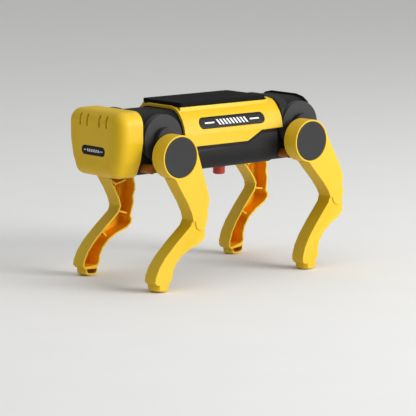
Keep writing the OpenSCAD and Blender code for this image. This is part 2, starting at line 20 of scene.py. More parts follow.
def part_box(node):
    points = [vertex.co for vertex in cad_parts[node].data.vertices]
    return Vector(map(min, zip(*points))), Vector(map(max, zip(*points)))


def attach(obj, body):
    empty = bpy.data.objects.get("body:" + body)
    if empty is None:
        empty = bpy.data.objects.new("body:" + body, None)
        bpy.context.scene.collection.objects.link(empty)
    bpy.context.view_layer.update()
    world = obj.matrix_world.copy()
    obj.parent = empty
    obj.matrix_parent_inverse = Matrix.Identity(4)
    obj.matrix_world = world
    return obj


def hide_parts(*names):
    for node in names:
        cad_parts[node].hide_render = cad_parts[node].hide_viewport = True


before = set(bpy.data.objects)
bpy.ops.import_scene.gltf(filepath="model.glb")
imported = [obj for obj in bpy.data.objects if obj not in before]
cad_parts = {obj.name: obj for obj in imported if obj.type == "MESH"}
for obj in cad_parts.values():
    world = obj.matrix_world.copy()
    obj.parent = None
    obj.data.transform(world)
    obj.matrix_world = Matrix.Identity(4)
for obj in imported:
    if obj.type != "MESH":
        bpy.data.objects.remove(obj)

LOG = logging.getLogger("robot_dog")
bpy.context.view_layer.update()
MM = 0.001
Point = tuple[float, float]
Corner = tuple[float, float, float]


# ---- colour and nodes ------------------------------------------------------------------


def linear(code: str) -> tuple[float, float, float, float]:
    """Turn an sRGB hex colour to linear light.

    Args:
        code: Six hex digits.

    Returns:
        Red, green, blue and an alpha of one.
    """
    channels = [int(code[i:i + 2], 16) / 255 for i in (0, 2, 4)]
    light = [c / 12.92 if c <= 0.04045 else ((c + 0.055) / 1.055) ** 2.4 for c in channels]
    return light[0], light[1], light[2], 1.0


def add_node(tree: bpy.types.NodeTree, kind: str, settings: dict | None = None,
             links: dict | None = None) -> bpy.types.Node:
    """Add one node with its settings and links.

    Args:
        tree: The material's node tree.
        kind: The node type, without its ShaderNode prefix.
        settings: Values by property name, or by input name or index.
        links: Source sockets by input name or index.

    Returns:
        The new node.
    """
    node = tree.nodes.new("ShaderNode" + kind)
    for key, value in (settings or {}).items():
        if isinstance(key, str) and hasattr(node, key):
            setattr(node, key, value)
        else:
            node.inputs[key].default_value = value
    for key, source in (links or {}).items():
        tree.links.new(source, node.inputs[key])
    return node


def noise(tree: bpy.types.NodeTree, place: bpy.types.NodeSocket, size_mm: float,
          detail: float) -> bpy.types.NodeSocket:
    """Return the value of a noise whose features are size_mm wide."""
    return add_node(tree, "TexNoise", {"Scale": 1 / (size_mm * MM), "Detail": detail},
                    {"Vector": place}).outputs["Fac"]


def blank(name: str) -> tuple[bpy.types.Material, bpy.types.NodeTree, bpy.types.Node]:
    """Return a new material with its node tree and its shader."""
    material = bpy.data.materials.new(name)
    material.use_nodes = True
    tree = material.node_tree
    return material, tree, tree.nodes["Principled BSDF"]


class Lay(Enum):
    """How a metal surface was made, as the stretch of its marks along X, Y and Z."""

    PLATED = (1.0, 1.0, 1.0)
    TURNED = (1.0, 0.06, 1.0)
    ROLLED = (0.05, 1.0, 1.0)


@dataclass(frozen=True)
class Moulding:
    """Injection-moulded plastic: even colour, a fine tool grain, and edges paler from rubbing wear
    and from a painted highlight.
    """

    name: str
    base: str
    shade: str
    edge: str
    roughness: float
    ior: float = 1.54
    cloud_mm: float = 14.0
    grain_mm: float = 0.45
    grain_depth_mm: float = 0.012
    ripple_mm: float = 7.0
    ripple_depth_mm: float = 0.05
    edge_share: float = 0.5
    specular: float = 0.5

    def build(self) -> bpy.types.Material:
        """Return the material made of this finish."""
        material, tree, shader = blank(self.name)
        place = add_node(tree, "TexCoord").outputs["Object"]
        cloud = noise(tree, place, self.cloud_mm, 3.0)
        tint = add_node(tree, "Mix", {"data_type": "RGBA", 6: linear(self.base),
                                      7: linear(self.shade)}, {0: cloud}).outputs[2]
        # painted highlight and wear: sharp convex edges, where pointiness is high, are mixed
        # towards the paler edge colour
        bend = add_node(tree, "NewGeometry").outputs["Pointiness"]
        rubbed_and_sheen = add_node(tree, "MapRange", {"From Min": 0.52, "From Max": 0.62,
                                             "To Max": self.edge_share},
                          {"Value": bend}).outputs["Result"]
        worn_and_sheen = add_node(tree, "Mix", {"data_type": "RGBA", 7: linear(self.edge)},
                        {0: rubbed_and_sheen, 6: tint}).outputs[2]
        # fine scratches from handling, drawn about 0.2 mm wide so that they show at all
        streaks = add_node(tree, "Mapping", {"Scale": (1.0, 0.12, 0.3)}, {"Vector": place})
        handled = noise(tree, streaks.outputs[0], 0.6, 4.0)
        gloss = add_node(tree, "MapRange", {"From Min": 0.3, "From Max": 0.75,
                                            "To Min": self.roughness - 0.04,
                                            "To Max": self.roughness + 0.08},
                         {"Value": handled}).outputs["Result"]
        grain = noise(tree, place, self.grain_mm, 2.0)
        ripple = noise(tree, place, self.ripple_mm, 1.0)
        sunk = add_node(tree, "Bump", {"Strength": 0.35,
                                       "Distance": self.ripple_depth_mm * MM},
                        {"Height": ripple}).outputs[0]
        rough = add_node(tree, "Bump", {"Strength": 0.5,
                                        "Distance": self.grain_depth_mm * MM},
                         {"Height": grain, "Normal": sunk}).outputs[0]
        tree.links.new(worn_and_sheen, shader.inputs["Base Color"])
        tree.links.new(gloss, shader.inputs["Roughness"])
        tree.links.new(rough, shader.inputs["Normal"])
        shader.inputs["IOR"].default_value = self.ior
        shader.inputs["Specular IOR Level"].default_value = self.specular
        return material


@dataclass(frozen=True)
class Metal:
    """Plated, turned or rolled metal: bright, with marks along the way it was worked."""

    name: str
    base: str
    stain: str
    roughness: float
    lay: Lay = Lay.PLATED
    mark_mm: float = 0.3

    def build(self) -> bpy.types.Material:
        """Return the material made of this finish."""
        material, tree, shader = blank(self.name)
        place = add_node(tree, "TexCoord").outputs["Object"]
        along = add_node(tree, "Mapping", {"Scale": self.lay.value}, {"Vector": place})
        marks = noise(tree, along.outputs[0], self.mark_mm, 3.0)
        cloud = noise(tree, place, 3.0, 4.0)
        tarnish = add_node(tree, "MapRange", {"From Min": 0.45, "From Max": 0.8,
                                              "To Max": 0.6}, {"Value": cloud})
        tint = add_node(tree, "Mix", {"data_type": "RGBA", 6: linear(self.base),
                                      7: linear(self.stain)},
                        {0: tarnish.outputs["Result"]}).outputs[2]
        gloss = add_node(tree, "MapRange", {"From Min": 0.3, "From Max": 0.7,
                                            "To Min": self.roughness - 0.06,
                                            "To Max": self.roughness + 0.12},
                         {"Value": marks}).outputs["Result"]
        fine = add_node(tree, "Bump", {"Strength": 0.4, "Distance": 0.01 * MM},
                        {"Height": marks}).outputs[0]
        tree.links.new(tint, shader.inputs["Base Color"])
        tree.links.new(gloss, shader.inputs["Roughness"])
        tree.links.new(fine, shader.inputs["Normal"])
        shader.inputs["Metallic"].default_value = 1.0
        return material


@dataclass(frozen=True)
class CellSleeve:
    """Heat-shrunk film round a dry cell: glossy, green with a copper-coloured band."""

    name: str
    sleeve: str
    band: str
    band_from_mm: float
    band_to_mm: float

    def build(self) -> bpy.types.Material:
        """Return the material made of this finish."""
        material, tree, shader = blank(self.name)
        place = add_node(tree, "TexCoord").outputs["Object"]
        along = add_node(tree, "SeparateXYZ", None, {0: place}).outputs["X"]
        past = add_node(tree, "Math", {"operation": "GREATER_THAN",
                                       1: self.band_from_mm * MM}, {0: along}).outputs[0]
        before = add_node(tree, "Math", {"operation": "LESS_THAN",
                                         1: self.band_to_mm * MM}, {0: along}).outputs[0]
        inside = add_node(tree, "Math", {"operation": "MULTIPLY"}, {0: past, 1: before})
        tint = add_node(tree, "Mix", {"data_type": "RGBA", 6: linear(self.sleeve),
                                      7: linear(self.band)},
                        {0: inside.outputs[0]}).outputs[2]
        wrinkle = noise(tree, place, 2.5, 3.0)
        gloss = add_node(tree, "MapRange", {"To Min": 0.18, "To Max": 0.34},
                         {"Value": wrinkle}).outputs["Result"]
        film = add_node(tree, "Bump", {"Strength": 0.4, "Distance": 0.03 * MM},
                        {"Height": wrinkle}).outputs[0]
        tree.links.new(tint, shader.inputs["Base Color"])
        tree.links.new(gloss, shader.inputs["Roughness"])
        tree.links.new(film, shader.inputs["Normal"])
        return material


class Finishes:
    """Every finish of the toy, each built once."""

    def __init__(self) -> None:
        """Build the materials."""
        # ABS from a polished tool: clean yellow with a soft satin gloss and paler edges, from wear
        # and a painted highlight
        self.yellow = Moulding("yellow_abs_satin", "E5BE14", "DEB40E", "F4D356", 0.46,
                               edge_share=0.6, specular=0.28).build()
        # the same ABS painted a deeper orange for the faces in the legs' hollows: painted bounce
        # light and shade, where light goes round in the hollow and deepens it
        self.hollow = Moulding("yellow_abs_painted_bounce_light", "F8B20C", "F0A606", "F6CC58", 0.5,
                               edge_share=0.8, specular=0.15).build()
        # ABS from a spark-eroded tool: near black, dull, with edges a little grey from rubbing and
        # from a painted highlight
        self.black = Moulding("black_abs_textured", "1E1E1F", "19191A", "4A4A4E", 0.5,
                              grain_depth_mm=0.02, specular=0.1).build()
        # the same ABS, made darker and with less specular for the slab on the back: painted shade
        # on its top
        self.slab = Moulding("black_abs_painted_shade", "101011", "0C0C0D", "303033", 0.5,
                             specular=0.04).build()
        # dark grey ABS of the pressed-in caps and hip discs
        self.grey = Moulding("dark_grey_abs", "2F2F30", "2A2A2B", "5C5C60", 0.55,
                             specular=0.2).build()
        # printed polyester plate under a clear film
        self.plate = Moulding("printed_plate_black", "181615", "131211", "2A2826", 0.44,
                              ripple_depth_mm=0.02, specular=0.15).build()
        # screen-printed white ink
        self.ink = Moulding("screen_ink_white", "E9E9E6", "DEDEDA", "F5F5F2", 0.5,
                            cloud_mm=2.0, ripple_depth_mm=0.01).build()
        # red ABS of the power button
        self.red = Moulding("red_abs_gloss", "C62D22", "B8261C", "DC5E52", 0.34).build()
        # ABS of the guide pegs, darkened to a brown amber: painted shade for the shadow they sit in
        # below the hip discs
        self.amber = Moulding("amber_abs", "945408", "854A06", "B07420", 0.5,
                              specular=0.25).build()
        # acetal of the gears: milky white, waxy
        self.acetal = Moulding("white_acetal", "EDEBE2", "E2E0D5", "FAFAF5", 0.38,
                               ior=1.48, cloud_mm=5.0, ripple_mm=3.0).build()
        # grey ABS of the hidden battery tray, with a coarser grain
        self.tray = Moulding("grey_abs_inner", "47484B", "3D3E41", "66676B", 0.55,
                             grain_mm=0.6, grain_depth_mm=0.03).build()
        # nickel-plated steel of screws, contacts and the motor can
        self.nickel = Metal("nickel_plated_steel", "C9C7C2", "A7A39B", 0.26).build()
        # ground steel rod of the axles and idler pins, with marks round the rod
        self.rod = Metal("ground_steel_rod", "BFC1C4", "94979B", 0.3, Lay.TURNED).build()
        # turned brass of pinion, gearbox plates and bushes
        self.brass = Metal("turned_brass", "D9B25A", "A9812F", 0.3, Lay.TURNED).build()
        # rolled spring steel, a shade darker than the plated parts
        self.spring = Metal("spring_steel_wire", "A9AAAC", "7C7D80", 0.34, Lay.ROLLED).build()
        # film sleeve of the two dry cells
        self.cell = CellSleeve("cell_sleeve", "2C6B4E", "B5793A", 12.0, 19.0).build()


# ---- shapes ----------------------------------------------------------------------------


def mm(x: float, y: float, z: float) -> Vector:
    """Return a place given in millimetres as a vector in metres."""
    return Vector((x, y, z)) * MM


def rounded(corners: Sequence[Corner], inward: float = 0.0, steps: int = 6) -> list[Vector]:
    """Draw an anticlockwise polygon in by a distance and round its corners.

    Args:
        corners: Two coordinates and a radius for each corner.
        inward: How far each side moves in. The radii shrink or grow with it.
        steps: Segments in each round corner. A corner with no radius stays one point.

    Returns:
        The outline's points, as many for every inward distance.
    """
    count = len(corners)
    spots = [Vector(c[:2]) for c in corners]
    ways = [(spots[(i + 1) % count] - spots[i]).normalized() for i in range(count)]
    points: list[Vector] = []
    for i, (_, _, radius) in enumerate(corners):
        way_in, way_out = ways[i - 1], ways[i]
        left_in = Vector((-way_in.y, way_in.x))
        left_out = Vector((-way_out.y, way_out.x))
        spot = spots[i] + (left_in + left_out) * inward / (1 + left_in.dot(left_out))
        if radius == 0:
            points.append(spot)
            continue
        turn = math.atan2(way_in.cross(way_out), way_in.dot(way_out))
        side = math.copysign(1, turn)
        bend = max(radius - side * inward, 0.3)
        start = spot - way_in * bend * math.tan(abs(turn) / 2)
        centre = start + left_in * side * bend
        for k in range(steps + 1):
            points.append(centre + Matrix.Rotation(turn * k / steps, 2) @ (start - centre))
    return points


def end_ring(outline: Iterable[Vector], x: float) -> list[Vector]:
    """Place an end-view outline (y, z) at x, in metres."""
    return [mm(x, p[0], p[1]) for p in outline]


def side_ring(outline: Iterable[Vector], y: float) -> list[Vector]:
    """Place a side-view outline (x, z) at y, in metres."""
    return [mm(p[0], y, p[1]) for p in outline]


def loft(rings: Sequence[Sequence[Vector]]) -> BMesh:
    """Extrude one closed ring through all the others and close both ends.

    Args:
        rings: Rings of points in metres, with the same number of points each.

    Returns:
        A closed solid with its faces outward.
    """
    shape = bmesh.new()
    ring = [shape.verts.new(point) for point in rings[0]]
    edges = [shape.edges.new((ring[i - 1], ring[i])) for i in range(len(ring))]
    bmesh.ops.contextual_create(shape, geom=edges)
    for points in rings[1:]:
        grown = bmesh.ops.extrude_edge_only(shape, edges=edges)["geom"]
        fresh = {item for item in grown if isinstance(item, BMVert)}
        ring = [next(edge.other_vert(vert) for edge in vert.link_edges
                     if edge.other_vert(vert) in fresh) for vert in ring]
        for vert, point in zip(ring, points):
            vert.co = point
        edges = [item for item in grown if isinstance(item, BMEdge)
                 and item.verts[0] in fresh and item.verts[1] in fresh]
    bmesh.ops.contextual_create(shape, geom=edges)
    bmesh.ops.recalc_face_normals(shape, faces=shape.faces)
    return shape


def turned(profile: Sequence[Point], centre: Vector, axis: Vector, steps: int = 72) -> BMesh:
    """Spin a profile of (radius, height) in millimetres round an axis.

    Args:
        profile: The open outline of one side, which starts and ends on the axis.
        centre: A place on the axis, in metres, where the height is zero.
        axis: The axis, of length one.
        steps: Segments of the full turn.

    Returns:
        A closed solid with its faces outward.
    """
    shape = bmesh.new()
    out = axis.orthogonal().normalized()
    verts = [shape.verts.new(centre + out * r * MM + axis * h * MM) for r, h in profile]
    edges = [shape.edges.new(pair) for pair in zip(verts, verts[1:])]
    bmesh.ops.spin(shape, geom=verts + edges, cent=centre, axis=axis, angle=2 * math.pi,
                   steps=steps, use_merge=True)
    bmesh.ops.remove_doubles(shape, verts=shape.verts, dist=0.002 * MM)
    bmesh.ops.recalc_face_normals(shape, faces=shape.faces)
    return shape


def in_mm(corners: Iterable[Vector]) -> list[Vector]:
    """Return places given in metres as vectors in millimetres."""
    return [corner / MM for corner in corners]


def block(low: Vector, high: Vector) -> BMesh:
    """Return a box between two corners given in metres."""
    shape = bmesh.new()
    size = high - low
    bmesh.ops.create_cube(shape, size=1.0, matrix=Matrix.Translation((low + high) / 2)
                          @ Matrix.Diagonal((size.x, size.y, size.z, 1.0)))
    return shape


def stadium(length: float, width: float, middle: Point) -> list[Vector]:
    """Return an anticlockwise strip outline with fully round ends, in millimetres."""
    half_l, half_w = length / 2, width / 2
    u, v = middle
    corners = ((1, -1), (1, 1), (-1, 1), (-1, -1))
    return rounded([(u + a * half_l, v + b * half_w, half_w - 0.01) for a, b in corners], steps=10)


def stroke(middle: Point, half: Point, lean: float = 0.0) -> list[Vector]:
    """Return an anticlockwise printed stroke in millimetres, with its top leant sideways."""
    (u, v), (half_l, half_h) = middle, half
    return [Vector((u + half_l - lean, v - half_h)), Vector((u + half_l + lean, v + half_h)),
            Vector((u - half_l + lean, v + half_h)), Vector((u - half_l - lean, v - half_h))]


def join(shapes: Iterable[BMesh]) -> BMesh:
    """Put several shapes into one mesh and free them."""
    whole = bmesh.new()
    for shape in shapes:
        part = bpy.data.meshes.new("part")
        shape.to_mesh(part)
        whole.from_mesh(part)
        bpy.data.meshes.remove(part)
        shape.free()
    return whole


def mirrored(shape: BMesh) -> BMesh:
    """Return a copy on the other side of the dog, with its faces outward."""
    twin = shape.copy()
    bmesh.ops.transform(twin, matrix=Matrix.Diagonal((1.0, -1.0, 1.0, 1.0)), verts=twin.verts)
    bmesh.ops.reverse_faces(twin, faces=twin.faces)
    return twin


class Cut(Enum):
    """What a cutting tool does to a shape."""

    AWAY = "DIFFERENCE"
    TOGETHER = "UNION"
    COMMON = "INTERSECT"


def cut(shape: BMesh, tool: BMesh, how: Cut = Cut.AWAY) -> BMesh:
    """Cut a closed shape with a closed tool and free both.

    Args:
        shape: The solid to cut.
        tool: The solid that cuts it.
        how: Whether the tool's space is removed, added or all that is kept.

    Returns:
        What is left.
    """
    holders = []
    for label, source in (("shape", shape), ("tool", tool)):
        mesh = bpy.data.meshes.new(label)
        source.to_mesh(mesh)
        source.free()
        holder = bpy.data.objects.new(label, mesh)
        bpy.context.scene.collection.objects.link(holder)
        holders.append(holder)
    modifier = holders[0].modifiers.new("cut", "BOOLEAN")
    modifier.operation = how.value
    modifier.object = holders[1]
    modifier.solver = "EXACT"
    bpy.context.view_layer.update()
    result = bmesh.new()
    solid = holders[0].evaluated_get(bpy.context.evaluated_depsgraph_get())
    result.from_mesh(solid.to_mesh())
    solid.to_mesh_clear()
    for holder in holders:
        mesh = holder.data
        bpy.data.objects.remove(holder)
        bpy.data.meshes.remove(mesh)
    return result


def soften(shape: BMesh, radius: float, segments: int = 2, over_deg: float = 38.0,
           where: Callable[[Vector], bool] | None = None) -> BMesh:
    """Round a shape's sharp edges.

    Args:
        shape: The shape, changed in place.
        radius: Width of the rounding in millimetres.
        segments: Segments across the rounding.
        over_deg: Edges that turn more than this are rounded.
        where: Tests an edge's middle, in millimetres. All edges are taken without it.

    Returns:
        The same shape.
    """
    limit = math.radians(over_deg)
    before = BVHTree.FromBMesh(shape)
    picked = [edge for edge in shape.edges
              if edge.is_manifold and edge.calc_face_angle(0.0) > limit
              and (where is None or where((edge.verts[0].co + edge.verts[1].co) / 2 / MM))]
    bmesh.ops.bevel(shape, geom=picked, affect="EDGES", offset=radius * MM,
                    offset_type="OFFSET", segments=segments, profile=0.5, material=-1,
                    clamp_overlap=False)
    # where short edges meet, a rounding may shoot past its corner: it goes back to the face
    for vert in shape.verts:
        spot, _, _, off = before.find_nearest(vert.co)
        if off > radius * MM:
            vert.co = spot
    return shape


def copied(node: str) -> BMesh:
    """Return a merged copy of a CAD node's mesh, with its flat faces whole."""
    shape = bmesh.new()
    shape.from_mesh(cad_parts[node].data)
    bmesh.ops.remove_doubles(shape, verts=shape.verts, dist=0.002 * MM)
    bmesh.ops.dissolve_limit(shape, angle_limit=math.radians(0.6), verts=shape.verts,
                             edges=shape.edges, use_dissolve_boundaries=False)
    return shape


@dataclass(frozen=True)
class Fitting:
    """Where a finished piece belongs."""

    body: str
    nodes: tuple[str, ...]
    slot: str


def place_piece(name: str, shape: BMesh, finish: bpy.types.Material,
                fitting: Fitting, smooth_deg: float = 32.0,
                second: bpy.types.Material | None = None) -> bpy.types.Object:
    """Turn a shape into a finished piece on its CAD body.

    Args:
        name: The piece's name.
        shape: Its shape in metres, which is freed.
        finish: Its material.
        fitting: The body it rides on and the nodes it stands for.
        smooth_deg: Edges that turn less than this are shaded smooth.
        second: The material of the faces that the shape marks with index one.

    Returns:
        The new object.
    """
    mesh = bpy.data.meshes.new(name)
    shape.to_mesh(mesh)
    shape.free()
    mesh.materials.append(finish)
    if second is not None:
        mesh.materials.append(second)
    mesh.shade_smooth()
    mesh.set_sharp_from_angle(angle=math.radians(smooth_deg))
    piece = bpy.data.objects.new(name, mesh)
    bpy.context.scene.collection.objects.link(piece)
    # large flat faces keep their own direction beside small round edges
    weighted = piece.modifiers.new("flat_faces_first", "WEIGHTED_NORMAL")
    weighted.keep_sharp = True
    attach(piece, fitting.body)
    if fitting.nodes:
        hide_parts(*fitting.nodes)
    LOG.info("%s: %d faces on %s", name, len(mesh.polygons), fitting.body)
    return piece


def dress(node: str, finish: bpy.types.Material) -> None:
    """Give a carried-over CAD node its material."""
    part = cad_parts[node]
    part.data.materials.clear()
    part.data.materials.append(finish)
    LOG.info("%s: CAD node dressed in %s", node, finish.name)


# ---- the toy's sub-assemblies ----------------------------------------------------------


@dataclass
class Head:
    """The hollow yellow head with its breathing slots and name plate."""

    finishes: Finishes
    edge_r: float = 4.9
    wall: float = 1.3
    slot_y: tuple[float, ...] = (-8.9, -4.1, 4.1, 8.9)
    slot_w: float = 1.0
    slot_low: float = 68.3
    slot_high: float = 73.4
    plate_l: float = 15.8
    plate_w: float = 3.8
    plate_z: float = 58.2
    plate_depth: float = 0.45
    plate_sunk: float = 0.06
    tool_in: float = 6.0
    tool_out: float = 1.0
    stroke_pitch: float = 1.25
    stroke_half: Point = (0.31, 0.6)
    stroke_lean: float = -0.25
    bar_y: float = 5.6
    bar_half: Point = (0.8, 0.18)

    def __post_init__(self) -> None:
        """Take the head's faces from its CAD node."""
        low, high = in_mm(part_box("head_shell"))
        self.back, self.front = low.x, high.x
        self.low, self.top, self.half_w = low.z, high.z, high.y

    def corners(self) -> list[Corner]:
        """Return the end view's corners, anticlockwise from the right of the chin."""
        right = [(13.4, self.low, 4.0), (16.9, 54.2, 9.0), (self.half_w, 62.4, 9.0),
                 (self.half_w, self.top, 5.8)]
        return right + [(-y, z, r) for y, z, r in reversed(right)]

    def rings(self, inward: float) -> list[list[Vector]]:
        """Return the rings from the open back to the front face, drawn in by a distance."""
        rings = [end_ring(rounded(self.corners(), inward), self.back)]
        for k in range(9):
            turn = math.pi / 2 * k / 8
            x = self.front - inward - self.edge_r * (1 - math.sin(turn))
            rings.append(end_ring(
                rounded(self.corners(), inward + self.edge_r * (1 - math.cos(turn))), x))
        return rings

    def shell(self) -> BMesh:
        """Model the hollow shell with its slots and the seat of the plate."""
        shape = loft(list(reversed(self.rings(self.wall))) + self.rings(0.0))
        for y in self.slot_y:
            half = self.slot_w / 2
            slit = rounded([(y + half, self.slot_low, 0.45), (y + half, self.slot_high, 0.45),
                            (y - half, self.slot_high, 0.45), (y - half, self.slot_low, 0.45)],
                           steps=4)
            shape = cut(shape, loft([end_ring(slit, self.front - self.tool_in),
                                     end_ring(slit, self.front + self.tool_out)]))
        seat = stadium(self.plate_l + 0.2, self.plate_w + 0.2, (0, self.plate_z))
        shape = cut(shape, loft([end_ring(seat, self.front - self.plate_depth),
                                 end_ring(seat, self.front + self.tool_out)]))
        return soften(shape, 0.14, 2, over_deg=50.0)

    def plate(self) -> BMesh:
        """Model the plate with round ends in the head's face."""
        outline = stadium(self.plate_l, self.plate_w, (0, self.plate_z))
        shape = loft([end_ring(outline, self.front - self.plate_depth),
                      end_ring(outline, self.front - self.plate_sunk)])
        return soften(shape, 0.12, 2, over_deg=50.0)

    def marks(self) -> BMesh:
        """Model a plain printed row of slanted strokes between two lines."""
        z = self.plate_z
        strokes = [stroke((k * self.stroke_pitch + 0.06, z), self.stroke_half, self.stroke_lean)
                   for k in range(-3, 4)]
        strokes += [stroke((side * self.bar_y, z), self.bar_half) for side in (-1, 1)]
        return join(loft([end_ring(s, self.front - 0.1), end_ring(s, self.front - 0.03)])
                    for s in strokes)

    def build(self) -> None:
        """Build and dress the head."""
        looks = self.finishes
        place_piece("head_moulding", self.shell(), looks.yellow,
                    Fitting("chassis", ("head_shell",), "yellow_abs"), smooth_deg=40.0)
        place_piece("head_plate", self.plate(), looks.plate,
                    Fitting("chassis", ("head_label",), "label_black"))
        place_piece("head_plate_marks", self.marks(), looks.ink,
                    Fitting("chassis", (), "label_black"))


@dataclass
class BackCover:
    """The yellow cover over the back with its side plates, and the black battery door."""

    finishes: Finishes
    wall: float = 1.3
    top: float = 75.1
    roof_r: float = 3.5
    rim: float = 0.8
    door_t: float = 1.9
    gap: float = 0.1
    plate_x: float = -3.8
    plate_z: float = 67.6
    plate_l: float = 36.6
    plate_w: float = 4.6
    flank: Point = (13.0, 20.0)
    ledge_h: float = 2.1
    tool_reach: float = 9.0
    door_corner_z: float = 75.2
    stroke_pitch: float = 1.9
    stroke_half: Point = (0.5, 1.15)
    stroke_lean: float = 0.75
    bar_x: float = 12.6
    bar_half: Point = (2.6, 0.3)

    def __post_init__(self) -> None:
        """Take the cover's ends from its CAD node and the opening from the door's."""
        low, high = in_mm(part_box("body_cover"))
        self.rear, self.front, self.half_w, self.low = low.x, high.x, high.y, low.z
        self.door = in_mm(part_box("battery_door"))

    def corners(self) -> list[Corner]:
        """Return the end view's corners, anticlockwise from the lower right."""
        r = self.roof_r
        right = [(self.half_w, 50.0, 0.0), (self.half_w, 63.2, r), (17.3, 66.7, r),
                 (16.0, 69.6, r), (14.3, 71.8, r), (13.0, 73.2, r), (11.0, 74.5, r),
                 (7.7, self.top, r)]
        return right + [(-y, z, r) for y, z, r in reversed(right)]

    def lower_edge(self) -> list[Point]:
        """Return the lower edge in side view as x and z, from front to rear."""
        return [(self.front, self.low), (-11.9, self.low), (-19.9, self.low + 4.2),
                (self.rear, self.low + 4.4)]

    def skin(self, outer: float, inner: float) -> BMesh:
        """Model the saddle between two distances from the outside.

        Args:
            outer: Distance of the outer face from the cover's outline.
            inner: Distance of the inner face from the same outline.

        Returns:
            A closed saddle-shaped shell.
        """
        rings = []
        for x, low in self.lower_edge():
            outside = rounded(self.corners(), outer, 3)
            inside = rounded(self.corners(), inner, 3)
            for line in (outside, inside):
                line[0].y = line[-1].y = low
            rings.append(end_ring(outside + inside[::-1], x))
        return loft(rings)

    def flank_tool(self, outline: list[Vector]) -> BMesh:
        """Run a side-view outline right through the left flank."""
        return loft([side_ring(outline, y) for y in self.flank])

    def plate_tool(self, gap: float) -> BMesh:
        """Model a strip with round ends that crosses the left flank."""
        return self.flank_tool(stadium(self.plate_l + 2 * gap, self.plate_w + 2 * gap,
                                       (self.plate_x, self.plate_z)))

    def cover(self) -> BMesh:
        """Model the cover with its door opening and the seats of both plates."""
        shape = self.skin(0.0, self.wall)
        seat = self.door[1].z - self.door_t - self.gap
        (west, south, _), (east, north, _) = self.door
        west, south, east, north = (west - self.gap, south - self.gap,
                                    east + self.gap, north + self.gap)
        rim = self.rim + self.gap
        under = seat - self.ledge_h
        reach = self.tool_reach
        for low, high in ((mm(west, south, under), mm(east, south + rim, seat)),
                          (mm(west, north - rim, under), mm(east, north, seat)),
                          (mm(west - self.rim, south, under), mm(west, north, seat + self.rim))):
            shape = cut(shape, block(low, high), Cut.TOGETHER)
        shape = cut(shape, block(mm(west, south, seat), mm(east, north, seat + reach)))
        shape = cut(shape, block(mm(west + rim, south + rim, seat - reach),
                                 mm(east - rim, north - rim, seat + reach)))
        shape = cut(shape, self.plate_tool(self.gap))
        shape = cut(shape, mirrored(self.plate_tool(self.gap)))
        return soften(shape, 0.22, 2, over_deg=50.0)

    def plate(self) -> BMesh:
        """Model the left plate, curved like the flank."""
        shape = cut(self.skin(0.12, self.wall), self.plate_tool(0.0), Cut.COMMON)
        return soften(shape, 0.1, 2, over_deg=50.0)

    def marks(self) -> BMesh:
        """Model a plain printed pattern: slanted strokes between two long lines."""
        x, z = self.plate_x, self.plate_z
        strokes = [stroke((x + k * self.stroke_pitch, z), self.stroke_half, self.stroke_lean)
                   for k in range(-4, 5)]
        strokes += [stroke((x + side * self.bar_x, z), self.bar_half) for side in (-1, 1)]
        return cut(self.skin(0.07, 0.2), join(map(self.flank_tool, strokes)), Cut.COMMON)

    def build(self) -> None:
        """Build and dress the cover, the plates and the door."""
        looks = self.finishes
        place_piece("cover_moulding", self.cover(), looks.yellow,
                    Fitting("chassis", ("body_cover",), "yellow_abs"), smooth_deg=40.0)
        left, ink = self.plate(), self.marks()
        place_piece("side_plates", join([mirrored(left), left]), looks.plate,
                    Fitting("chassis", ("side_labels",), "label_black"))
        place_piece("side_plate_marks", join([mirrored(ink), ink]), looks.ink,
                    Fitting("chassis", (), "label_black"))
        # the upright edges of the slab that stand clear of the roof
        top = self.door[1].z
        slab = soften(copied("battery_door"), 1.4, 4, over_deg=60.0,
                      where=lambda p: self.door_corner_z < p.z < top - 0.2)
        # the slab wears the darker copy of the black ABS: painted shade
        place_piece("battery_door_moulding", soften(slab, 0.35, 3), looks.slab,
                    Fitting("chassis", ("battery_door",), "black_abs"))


@dataclass
class Hull:
    """The black body shells with the hip covers, bushes and guide pegs."""

    finishes: Finishes
    tail_r: float = 2.4
    edge_r: float = 0.3
    disc_edge: float = 0.45
    disc_from: float = 15.2

    def upper(self) -> BMesh:
        """Model the upper shell with its well-rounded tail."""
        low, _ = in_mm(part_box("upper_shell"))
        shape = soften(copied("upper_shell"), self.tail_r, 5, over_deg=60.0,
                       where=lambda p: p.x < low.x + 0.05 and p.z > low.z + 0.2)
        return soften(shape, self.edge_r, 2)

    def hip_disc(self, x: float, z: float, low_y: float, high_y: float, r: float,
                 bore: float) -> BMesh:
        """Spin one hip disc on the left side, with a bore for its bush."""
        e = self.disc_edge
        ring = [(bore, low_y), (r, low_y), (r, high_y - e), (r - e * 0.3, high_y - e * 0.3),
                (r - e, high_y), (bore + 0.2, high_y), (bore, high_y - 0.2), (bore, low_y)]
        return turned(ring, mm(x, 0, z), Vector((0, 1, 0)), 96)

    def build(self) -> None:
        """Build and dress the shells and what sits on them."""
        looks = self.finishes
        place_piece("upper_shell_moulding", self.upper(), looks.black,
                    Fitting("chassis", ("upper_shell",), "black_abs"), smooth_deg=40.0)
        place_piece("lower_shell_moulding", soften(copied("lower_shell"), self.edge_r, 2),
                    looks.black, Fitting("chassis", ("lower_shell",), "black_abs"), smooth_deg=40.0)
        low, high = in_mm(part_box("hip_covers"))
        r = (high.z - low.z) / 2
        z = (high.z + low.z) / 2
        bush_low, bush_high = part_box("axle_bushes")
        bore = (bush_high.z - bush_low.z) / MM / 2
        discs = []
        for x in (low.x + r, high.x - r):
            left = self.hip_disc(x, z, self.disc_from, high.y, r, bore)
            discs += [mirrored(left), left]
        place_piece("hip_discs", join(discs), looks.grey,
                    Fitting("chassis", ("hip_covers",), "dark_grey_abs"))
        # the pegs take the darkened amber: painted shade
        place_piece("guide_peg_mouldings", soften(copied("guide_pegs"), 0.25, 2), looks.amber,
                    Fitting("chassis", ("guide_pegs",), "amber_abs"))


